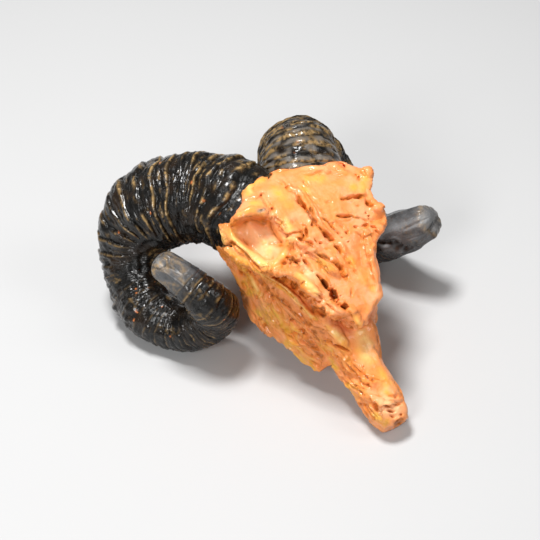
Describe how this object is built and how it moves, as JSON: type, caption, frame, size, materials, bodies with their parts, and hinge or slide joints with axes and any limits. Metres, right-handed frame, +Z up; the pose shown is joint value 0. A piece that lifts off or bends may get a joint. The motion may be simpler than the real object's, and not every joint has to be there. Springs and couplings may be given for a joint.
{
  "type": "painted resin ram skull ornament",
  "caption": "Small cast and hand-painted resin ornament of a ram's skull with curled, ringed horns, resting on its horns and nose.",
  "frame": {"origin": "on the resting plane, under the middle of the ornament's bounding box", "axes": "+Z up, the nose points to -Y, +X is the animal's left side"},
  "size_m": [0.1172, 0.128, 0.0687],
  "materials": {
    "bone": "orange and ochre paint with a brown wash and a glossy varnish",
    "horn": "black paint with ochre dry brushing on the rings and a glossy varnish"
  },
  "bodies": {
    "root": {"forehead_plate": "bone", "braincase": "bone", "cheek_right": "bone", "cheek_left": "bone", "muzzle": "bone", "eye_socket_right": "bone", "eye_socket_left": "bone", "horn_right_base": "horn", "horn_right_curl": "horn", "horn_right_tip": "horn", "horn_left_base": "horn", "horn_left_curl": "horn", "horn_left_tip": "horn"}
  },
  "joints": []
}
